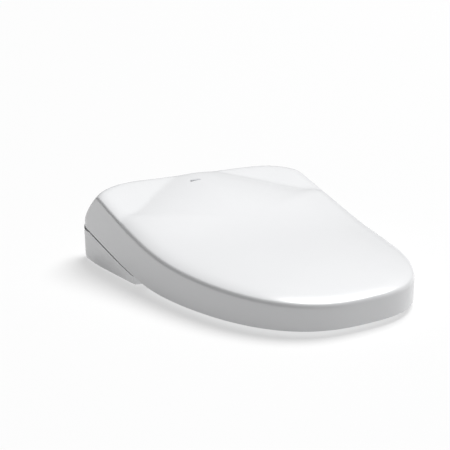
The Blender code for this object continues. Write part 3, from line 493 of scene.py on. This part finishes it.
def boxCutter(x, depth, z):
    # A box from its ends across, along the depth and up.
    low, high = place(x[0], depth[1], z[0]), place(x[1], depth[0], z[1])
    work = bmesh.new()
    matrix = Matrix.LocRotScale((low + high) / 2, None, high - low)
    bmesh.ops.create_cube(work, size=1, matrix=matrix)
    mesh = bpy.data.meshes.new("cutter")
    work.to_mesh(mesh)
    work.free()
    return mesh


def rodCutter(start, end, radius):
    # A rod between two points.
    work = bmesh.new()
    line = end - start
    turn = line.to_track_quat("Z", "Y").to_matrix().to_4x4()
    matrix = Matrix.Translation((start + end) / 2) @ turn
    bmesh.ops.create_cone(
        work, cap_ends=True, segments=64, radius1=radius, radius2=radius, depth=line.length, matrix=matrix
    )
    mesh = bpy.data.meshes.new("cutter")
    work.to_mesh(mesh)
    work.free()
    return mesh


def cutWith(obj, meshes):
    # Cuts each cutter's mesh out of a piece and applies the cut.
    for mesh in meshes:
        cutter = bpy.data.objects.new("cutter", mesh)
        bpy.context.scene.collection.objects.link(cutter)
        cut = obj.modifiers.new("cut", "BOOLEAN")
        cut.object = cutter
        cut.solver = "EXACT"
        bpy.context.view_layer.update()
        made = bpy.data.meshes.new_from_object(obj.evaluated_get(bpy.context.evaluated_depsgraph_get()))
        obj.modifiers.clear()
        obj.data = made
        bpy.data.objects.remove(cutter)
    obj.data.set_sharp_from_angle(angle=sharpAngle)


def slantCutter(middle, along, up, halves):
    # A box whose axes are across, along and up, given by its half sizes.
    across = up.cross(along)
    turn = Matrix((across, along, up)).transposed().to_4x4()
    work = bmesh.new()
    size = Matrix.Diagonal((*[2 * half for half in halves], 1))
    bmesh.ops.create_cube(work, size=1, matrix=Matrix.Translation(middle) @ turn @ size)
    mesh = bpy.data.meshes.new("cutter")
    work.to_mesh(mesh)
    work.free()
    return mesh


# The seat ring

ring = dict(
    inset=0.007,
    rear=0.206,
    corner=0.030,
    low=0.008,
    underLid=0.011,
    centre=0.343,
    holeX=0.108,
    holeY=0.119,
    holePower=2.3,
    wall=0.0028,
    shoulderShare=0.10,
    shoulderDrop=0.012,
    dish=0.0022,
    rollShare=0.18,
    rollDrop=0.0145,
    notchHalf=0.019,
    notchFront=0.227,
    notchTop=0.027,
    columns=360,
)


def ringOutlines():
    # The ring's outer outline and its hole, a superellipse, at the same angles.
    half = planHalf(ring["inset"], ring["rear"], seat["length"], ring["corner"])
    angles = anglesOf(half, ring["centre"], ring["columns"])
    outer = around(half, ring["centre"], angles)
    sine, cosine = np.abs(np.sin(angles)), np.abs(np.cos(angles))
    power = ring["holePower"]
    reach = ((sine / ring["holeX"]) ** power + (cosine / ring["holeY"]) ** power) ** (-1 / power)
    hole = np.stack([np.sin(angles) * reach, ring["centre"] + np.cos(angles) * reach], 1)
    return outer, hole


def ringSection(outer, hole, steps):
    # Loops of the ring: each step is a share from the outer edge to the hole and a drop below its top line.
    # A drop of minus one stands for the ring's low edge.
    line = rimLine(outer[:, 1]) - ring["underLid"]
    loops = []
    for share, drop in steps:
        flat = outer + (hole - outer) * share
        loops.append(lift(flat, np.where(drop < 0, ring["low"] - 1 - drop, line - drop)))
    return np.stack(loops)


def buildSeatTop():
    # The ring's upper shell: upright outer edge, round shoulder, slightly dished top and a rolled inner edge.
    outer, hole = ringOutlines()
    turn = np.linspace(0, math.pi / 2, 9)
    steps = [(0.0, -1.0)]
    shoulder, roll = ring["shoulderShare"], ring["rollShare"]
    steps += [(shoulder * (1 - math.cos(t)), ring["shoulderDrop"] * (1 - math.sin(t))) for t in turn]
    for share in np.linspace(0.14, 0.80, 15):
        steps.append((share, ring["dish"] * math.sin((share - 0.1) / 0.72 * math.pi)))
    steps += [(0.82 + roll * math.sin(t), ring["rollDrop"] * (1 - math.cos(t))) for t in turn]
    steps += [(1.0, -1.0)]
    loops = ringSection(outer, hole, steps)
    wall = ring["wall"]
    middle = lift((outer + hole) / 2, 0)[None, :, :2]
    arm = loops[:, :, :2] - middle
    size = np.linalg.norm(arm, axis=2, keepdims=True)
    inner = loops.copy()
    inner[:, :, :2] = middle + arm * np.clip(size - wall, 0, None) / np.maximum(size, 1e-9)
    inner[1:-1, :, 2] -= wall
    whole = np.concatenate([loops, inner[::-1]])
    mesh = gridMesh("seatRing", whole, closedRows=True)
    piece = addPiece("seatRing", mesh, "seat", finishes["seat_white"], ["seat_top"])
    half = ring["notchHalf"]
    notch = boxCutter((-half, half), (ring["rear"] - 0.01, ring["notchFront"]), (-0.01, ring["notchTop"]))
    cutWith(piece, [notch])


def barrelProfile(start, end, radius):
    # A ring's profile as distance along the axis and radius, with rounded outer edges, open at its bore.
    bore = barrel["bore"]
    soft = min(barrel["edge"], (radius - bore) / 3)
    turn = np.linspace(0, math.pi / 2, 6)
    first = np.stack([start + soft * (1 - np.sin(turn)), radius - soft * (1 - np.cos(turn))], 1)[::-1]
    last = np.stack([end - soft * (1 - np.sin(turn)), radius - soft * (1 - np.cos(turn))], 1)
    return np.concatenate([[[start, bore]], first, last, [[end, bore]]])


def turned(name, origin, axis, profile, body, finish, columns=72):
    # A turned ring: a closed profile of distance and radius, swept about an axis.
    turn = np.arange(columns) / columns * math.tau
    basis = Vector(axis).to_track_quat("Z", "Y").to_matrix()
    u, v, w = (np.array(basis.col[k]) for k in range(3))
    along, radius = profile[:, 0, None, None], profile[:, 1, None, None]
    spoke = np.cos(turn)[:, None] * u + np.sin(turn)[:, None] * v
    points = np.array(origin) + along * w + radius * spoke[None]
    mesh = gridMesh(name, points, closedRows=True)
    addPiece(name, mesh, body, finishes[finish], slot=finish)


arm = dict(
    x=0.1365,
    halfWidth=0.0095,
    halfHeight=0.0105,
    corner=0.0035,
    middleDepth=0.120,
    heights=(0.041, 0.0735),
    halves=(0.0108, 0.0095, 0.0070),
    soft=8,
)
barrel = dict(bore=0.0044, edge=0.0012, seat=(0.1245, 0.148, 0.009), lid=(0.151, 0.162, 0.0075))


def buildArm(side, sign):
    # One arm: a rounded bar that rises and grows thinner from the ring to the hinge.
    share, knots = np.linspace(0, 1, 60), (0, 0.5, 1)
    depth = np.interp(share, knots, (ring["rear"] + 0.004, arm["middleDepth"], seat["hingeDepth"]))
    height = np.interp(share, knots, (*arm["heights"], seat["hingeZ"]))
    window = np.ones(2 * arm["soft"] + 1) / (2 * arm["soft"] + 1)
    smooth = np.convolve(np.pad(height, arm["soft"], "edge"), window, "valid")
    half = np.interp(share, knots, arm["halves"])
    profile = roundedBox(arm["halfWidth"], arm["halfHeight"], arm["corner"], count=40)
    x = sign * arm["x"] + profile[None, :, 0] + 0 * depth[:, None]
    z = smooth[:, None] + profile[None, :, 1] / arm["halfHeight"] * half[:, None]
    y = seat["rearToBolts"] - depth[:, None] + 0 * z
    mesh = gridMesh("seatArm", np.stack([x, y, z], -1), capped=(True, True))
    addPiece("seatArm" + side, mesh, "seat", finishes["seat_white"], slot="seat_white")


def buildBarrels(side, sign):
    # The seat's and the lid's barrels on one side, side by side on the hinge line.
    for body, finish in (("seat", "seat_white"), ("lid", "shell_white")):
        profile = barrelProfile(*barrel[body])
        turned(body + "Barrel" + side, hingePoint, (sign, 0, 0), profile, body, finish)


for sideName, sideSign in (("Left", -1), ("Right", 1)):
    buildArm(sideName, sideSign)
    buildBarrels(sideName, sideSign)
buildSeatTop()
print("seat ring ready")


# The base pan

pan = dict(
    inset=0.001,
    front=0.203,
    low=0.001,
    floorLow=0.0046,
    stepDown=0.0028,
    stepIn=0.0022,
    softFoot=0.010,
    footIn=0.0035,
    taper=0.058,
    taperFrom=0.060,
    taperSides=0.10,
    footDepth=0.08,
    rearDepth=0.04,
    frontFrom=0.18,
    frontRun=0.023,
    frontIn=0.010,
    edge=0.0006,
    chamfer=0.0018,
    frontCorner=0.008,
    middle=0.10,
    shares=(0.02, 0.3, 0.6, 0.85),
    corner=0.024,
    columns=640,
)
openings = dict(
    nozzle=((-0.0145, 0.0145), (0.176, 0.215), (-0.01, 0.033)),
    plate=((-0.100, 0.100), (-0.0025, 0.016), (-0.0025, 0.0046)),
    drawer=((0.0896, 0.1204), (0.0121, 0.0284)),
    release=((0.1416, 0.1604), (0.0086, 0.0174)),
    sideDeep=0.018,
    portX=0.150,
    portZ=0.026,
    portRun=0.02,
    inletRadius=0.0104,
    glandRadius=0.0084,
    roundGap=0.0004,
    spraySlant=math.radians(35),
    sprayHalves=(0.0145, 0.040, 0.0125),
)


def panDraft(x, depth, z):
    # Moves a point of the pan's wall inwards towards the bottom.
    # The sides taper in proportion to depth, and the foot turns in towards the rear corners.
    height = np.clip(z / np.maximum(panTop(depth), 1e-3), 0, 1)
    taper = pan["taper"] * np.clip(depth - pan["taperFrom"], 0, None) * (1 - height)
    foot = pan["footIn"] * np.clip(1 - z / pan["softFoot"], 0, 1) ** 2
    foot = foot * np.clip(1 - depth / pan["footDepth"], 0, 1)
    side = np.abs(x) > pan["taperSides"]
    front = np.clip((depth - pan["frontFrom"]) / pan["frontRun"], 0, 1) ** 2 * pan["frontIn"] * (1 - height)
    rear = foot * np.clip(1 - depth / pan["rearDepth"], 0, 1)
    return x - np.sign(x) * np.where(side, taper + foot, 0), depth + rear - front


def drafted(flat, z):
    # A loop of the pan at a height, drawn in by its draft.
    z = np.broadcast_to(z, flat.shape[:-1])
    x, depth = panDraft(flat[:, 0], flat[:, 1], z)
    return lift(np.stack([x, depth], 1), z)


def panOutline(inset):
    # The pan's whole outline at an inset from its outer wall, with softly rounded front corners.
    edge = pan["inset"] + inset
    half = planHalf(edge, edge, pan["front"] - inset, pan["corner"] - inset)
    return wholeOutline(panSoft(half, pan["frontCorner"]), pan["columns"])


def panSoft(half, radius):
    # Half an outline with the corner between its front line and its side cut by an arc.
    corner = np.flatnonzero(half[:, 1] >= half[0, 1] - 1e-9)[-1]
    edge = half[corner]
    turn = np.linspace(0, math.pi / 2, 24)
    arc = np.stack([edge[0] - radius + radius * np.sin(turn), edge[1] - radius + radius * np.cos(turn)], 1)
    front = half[:corner][half[:corner, 0] < edge[0] - radius]
    side = half[corner:][half[corner:, 1] < edge[1] - radius]
    return np.concatenate([front, arc, side])


def shrunk(outline, share):
    # An outline drawn in towards the pan's middle.
    centre = np.array([0, pan["middle"]])
    return centre + (outline - centre) * share


def panLoops():
    # One closed skin: underside, outer wall, top edge with its shadow step, inner wall and floor.
    outer, inner = panOutline(0), panOutline(seat["wall"])
    soft, stepped = panOutline(pan["edge"]), panOutline(pan["stepIn"])
    shoulder = panTop(outer[:, 1]) - pan["stepDown"]
    lowest, highest = pan["low"] + pan["edge"], panTop(inner[:, 1])
    wall = shoulder - pan["low"] - 2 * pan["edge"]
    floorTop = pan["floorLow"] + seat["wall"]
    loops = [drafted(shrunk(inner, share), pan["floorLow"]) for share in (*pan["shares"], 1.0)]
    loops.append(drafted(inner, lowest))
    loops += [drafted(outline, pan["low"]) for outline in (panOutline(pan["chamfer"]), soft)]
    loops += [drafted(outer, lowest + wall * share) for share in np.linspace(0, 1, 14)]
    loops += [drafted(soft, shoulder), drafted(stepped, shoulder)]
    loops += [drafted(stepped, panTop(stepped[:, 1])), drafted(inner, highest)]
    loops += [drafted(inner, floorTop + (highest - floorTop) * share) for share in (0.8, 0.5, 0.2, 0)]
    loops += [drafted(shrunk(inner, share), floorTop) for share in pan["shares"][::-1]]
    return np.stack(loops)


def panCuts():
    # Notches for the nozzle and the plate, ports at the rear, and openings for what shows in the far side.
    side = seat["halfWidth"] + seat["wall"]
    reach = (side - openings["sideDeep"], side)
    cuts = [boxCutter(*openings["nozzle"]), boxCutter(*openings["plate"])]
    cuts += [boxCutter(reach, *openings[name]) for name in ("drawer", "release")]
    run = openings["portRun"]
    for sign, radius in ((-1, openings["inletRadius"]), (1, openings["glandRadius"])):
        ends = [place(sign * openings["portX"], depth, openings["portZ"]) for depth in (-run, run)]
        cuts.append(rodCutter(*ends, radius))
    for node in ("aux_button_stop", "aux_button_wash", "sensor_window"):
        low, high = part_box(node)
        middle, radius = (Vector(low) + Vector(high)) / 2, (high[2] - low[2]) / 2 + openings["roundGap"]
        cuts.append(rodCutter(Vector((reach[0], *middle[1:])), Vector((reach[1], *middle[1:])), radius))
    slant = openings["spraySlant"]
    along = Vector((0, -math.cos(slant), -math.sin(slant)))
    up = Vector((0, -math.sin(slant), math.cos(slant)))
    low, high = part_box("nozzle_tip")
    cuts.append(slantCutter((Vector(low) + Vector(high)) / 2, along, up, openings["sprayHalves"]))
    return cuts


def buildPan():
    mesh = gridMesh("basePan", panLoops(), capped=(True, True))
    cutWith(addPiece("basePan", mesh, "unit", finishes["shell_white"], ["base_pan"]), panCuts())


buildPan()
print("base pan ready")


# The badge


badge = dict(
    centre=(-0.0200, 0.0895),
    halfWidth=0.0095,
    halfDepth=0.0019,
    proud=0.0006,
    sunk=0.0015,
    steps=((0.98, -1), (1, -0.9), (1, 0), (0.97, 0.6), (0.92, 0.9), (0.85, 1), (0.4, 1)),
)
lidReach = np.hypot(lidOutline[:, 0], lidOutline[:, 1] - lid["centre"])
lidCrease = creaseShare(lidAngles, lidReach)


def buildBadge():
    # A plain pill near the lid's top. A step is a share of its outline and a height over or under the lid.
    # The bearing here is from the side, while the lid's angles are from the front, so the pill tilts a little
    # against the lid and stands 0.5 to 1.6 mm proud of it.
    outline = roundedBox(badge["halfWidth"], badge["halfDepth"], badge["halfDepth"] - 0.00005, 64)
    loops = []
    for share, height in badge["steps"]:
        x, depth = (outline * share + badge["centre"]).T
        bearing = np.arctan2(depth - lid["centre"], x)
        reach = np.interp(bearing, lidAngles, lidReach, period=math.tau)
        crease = np.interp(bearing, lidAngles, lidCrease, period=math.tau)
        scale = np.hypot(x, depth - lid["centre"]) / reach
        top = lidTop(x, depth, scale, reach, crease, 0.0)
        rise = badge["proud"] * height if height > 0 else badge["sunk"] * height
        loops.append(np.stack([x, depth, top + rise], 1))
    points = np.array([lift(loop[:, :2], loop[:, 2]) for loop in loops])
    mesh = gridMesh("lidBadge", points, capped=(True, True))
    addPiece("lidBadge", mesh, "lid", finishes["badge_grey"], ["lid_badge"])


buildBadge()
print("badge ready")


# Floor, light and camera

studio = dict(
    floorHalf=30.0,
    floorTone=0.30,
    floorGlow=0.57,
    world=0.03,
    target=(0.0, -0.2035, 0.06),
    azimuth=32.4,
    elevation=16.0,
    distance=1.5,
    lens=77.4,
    shift=(-0.083, 0.036),
    keyFrom=(0.41, 0.10, 0.905),
    keySoftness=40.0,
    keyStrength=4.4,
)


def buildFloor():
    # A wide pale floor with a soft glow of its own.
    half = studio["floorHalf"]
    corners = [(-half, -half, 0), (half, -half, 0), (half, half, 0), (-half, half, 0)]
    mesh = bpy.data.meshes.new("floor")
    mesh.from_pydata(corners, [], [(0, 1, 2, 3)])
    floor = bpy.data.objects.new("floor", mesh)
    bpy.context.scene.collection.objects.link(floor)
    pale, _, shader = nodeMaterial("floorPale", (studio["floorTone"],) * 3, 0.9)
    shader.inputs["Emission Color"].default_value = (1, 1, 1, 1)
    shader.inputs["Emission Strength"].default_value = studio["floorGlow"]
    mesh.materials.append(pale)


def buildLight():
    # One soft key light from above, and dim even surroundings.
    world = bpy.data.worlds.new("studioWorld")
    bpy.context.scene.world = world
    world.use_nodes = True
    backdrop = world.node_tree.nodes["Background"]
    backdrop.inputs["Color"].default_value = (1, 1, 1, 1)
    backdrop.inputs["Strength"].default_value = studio["world"]
    light = bpy.data.lights.new("keyLight", "SUN")
    light.angle, light.energy = math.radians(studio["keySoftness"]), studio["keyStrength"]
    lamp = bpy.data.objects.new("keyLight", light)
    lamp.rotation_euler = (-Vector(studio["keyFrom"])).to_track_quat("-Z", "Y").to_euler()
    bpy.context.scene.collection.objects.link(lamp)


def buildCamera():
    # A camera at an azimuth, elevation and distance from its target.
    turn, rise = math.radians(studio["azimuth"]), math.radians(studio["elevation"])
    heading = Vector((-math.sin(turn) * math.cos(rise), -math.cos(turn) * math.cos(rise), math.sin(rise)))
    lens = bpy.data.cameras.new("camera")
    lens.lens, lens.shift_x, lens.shift_y = studio["lens"], *studio["shift"]
    camera = bpy.data.objects.new("camera", lens)
    camera.location = Vector(studio["target"]) + heading * studio["distance"]
    camera.rotation_euler = (-heading).to_track_quat("-Z", "Y").to_euler()
    bpy.context.scene.collection.objects.link(camera)
    bpy.context.scene.camera = camera
    bpy.context.scene.view_settings.view_transform = "Standard"


buildFloor()
buildLight()
buildCamera()
print("studio ready")
